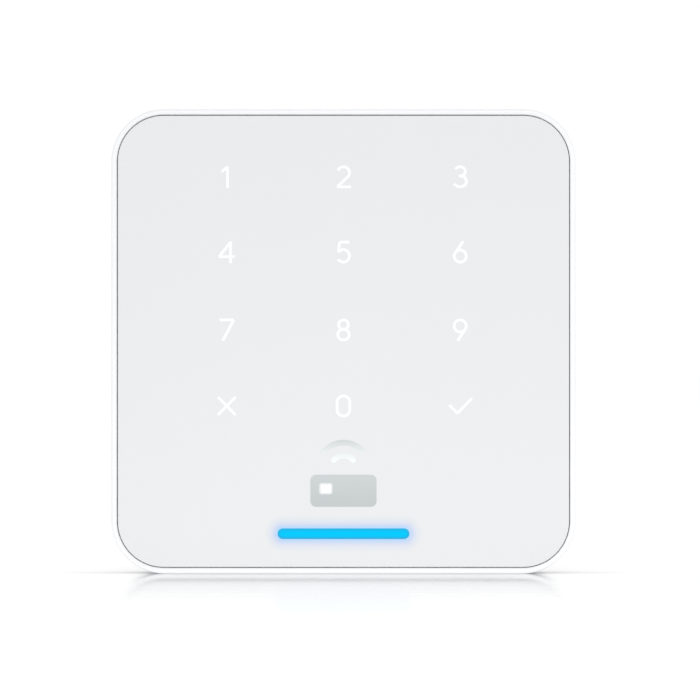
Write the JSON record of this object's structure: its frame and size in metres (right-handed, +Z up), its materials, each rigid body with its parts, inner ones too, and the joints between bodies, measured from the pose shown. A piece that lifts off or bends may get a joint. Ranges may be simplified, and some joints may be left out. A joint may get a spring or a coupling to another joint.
{
  "type": "keypad access reader",
  "caption": "Square wall-mounted access reader with a flat touch keypad, a card antenna, a lit bar, and a keyhole wall bracket with a locking screw.",
  "frame": {"origin": "centre of the bracket's flat wall face, on solid plate, level with the middle of the square face", "axes": "+Y points into the wall along the wall face's outward normal, -Y is out of the keypad face, +Z is up, +X is to the right seen from the front"},
  "size_m": [0.09, 0.02, 0.09],
  "materials": {
    "housing": "fine satin moulded",
    "panel": "smooth, slightly glossy",
    "light_guide": "clear moulding lit cyan from behind",
    "tape": "soft black foam tape",
    "sheet": "frosted film",
    "circuit_board": "solder resist",
    "led": "clear lens",
    "status_led": "clear lens",
    "copper": "bare copper track",
    "ferrite": "flexible sheet",
    "steel": "zinc plated",
    "nut": "plain",
    "can": "tinned",
    "black_plastic": "moulded",
    "component": "moulded",
    "aluminium_can": "drawn can",
    "cream_plastic": "moulded",
    "contacts": "gold flashed",
    "rubber_grey": "soft moulded",
    "cover": "fine moulded grain",
    "bracket": "fine moulded grain",
    "plunger": "moulded",
    "label": "blank paper label"
  },
  "bodies": {
    "bracket": {"wall_bracket": "bracket", "lock_nut": "nut"},
    "reader": {"housing": "housing", "front_panel": "panel", "light_bar": "light_guide", "panel_tape": "tape", "light_sheet": "sheet", "touch_board": "circuit_board", "backlight_led_1": "led", "backlight_led_2": "led", "backlight_led_3": "led", "antenna_loop": "copper", "ferrite_sheet": "ferrite", "main_board": "circuit_board", "board_screw_1": "steel", "board_screw_2": "steel", "board_screw_3": "steel", "board_screw_4": "steel", "processor_shield": "can", "radio_module": "can", "transformer": "component", "capacitor": "aluminium_can", "inductor": "component", "network_chip": "black_plastic", "status_led_1": "status_led", "status_led_2": "status_led", "status_led_3": "status_led", "status_led_4": "status_led", "status_led_5": "status_led", "connector_socket": "black_plastic", "connector_plug": "cream_plastic", "network_jack": "black_plastic", "jack_contacts": "contacts", "jack_gasket": "rubber_grey", "rear_cover": "cover", "housing_seal": "rubber_grey", "cover_screw_1": "steel", "cover_screw_2": "steel", "cover_screw_3": "steel", "cover_screw_4": "steel", "rating_label": "label", "speaker": "component", "speaker_gasket": "tape", "tamper_switch": "black_plastic", "tamper_seal": "rubber_grey", "reset_switch": "black_plastic"},
    "lock_screw": {"lock_screw": "steel"},
    "tamper_plunger": {"tamper_plunger": "plunger"},
    "reset_button": {"reset_button": "cream_plastic"}
  },
  "joints": [
    {"name": "reader_lift", "type": "slide", "parent": "bracket", "child": "reader", "axis": [0, 0, 1], "range_m": [0, 0.005]},
    {"name": "lock_screw_travel", "type": "slide", "parent": "reader", "child": "lock_screw", "axis": [0, 0, -1], "range_m": [0, 0.005]},
    {"name": "tamper_press", "type": "slide", "parent": "reader", "child": "tamper_plunger", "axis": [0, -1, 0], "range_m": [0, 0.0008], "stiffness_N_per_m": 300, "springref_m": -0.001},
    {"name": "reset_press", "type": "slide", "parent": "reader", "child": "reset_button", "axis": [0, -1, 0], "range_m": [0, 0.0003], "stiffness_N_per_m": 1000, "springref_m": -0.0005}
  ]
}
